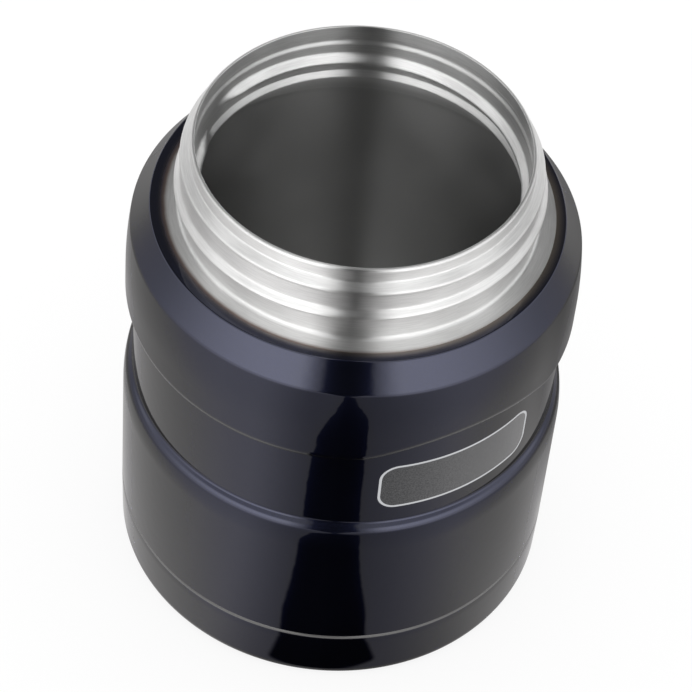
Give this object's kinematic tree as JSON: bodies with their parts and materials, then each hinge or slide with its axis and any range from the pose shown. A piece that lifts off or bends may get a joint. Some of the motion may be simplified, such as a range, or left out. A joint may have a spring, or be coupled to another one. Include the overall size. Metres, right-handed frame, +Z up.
{
  "type": "insulated food jar",
  "caption": "Open double-walled vacuum food jar: painted shell with an arched shoulder step, bare steel neck with a screw thread, steel liner, cup-shaped base.",
  "frame": {"origin": "centre of the foot on the table", "axes": "+Z up along the jar's axis, towards the mouth; the badge and the arch over it face -Y"},
  "size_m": [0.0948, 0.0948, 0.1172],
  "materials": {
    "painted_steel": "gloss metallic enamel, midnight blue",
    "bare_steel": "turned, fine rings round the axis",
    "solder_glass": "opaque dark solder glass",
    "getter_alloy": "sintered, matt",
    "foil": "bright foil"
  },
  "bodies": {
    "root": {"outer_shell": "painted_steel", "base_cup": "painted_steel", "neck_collar": "bare_steel", "inner_vessel": "bare_steel", "inner_bottom": "bare_steel", "outer_bottom": "bare_steel", "getter_clip": "bare_steel", "seal_bead": "solder_glass", "getter_pill": "getter_alloy", "foil_wrap": "foil", "foil_disc": "foil"}
  },
  "joints": []
}
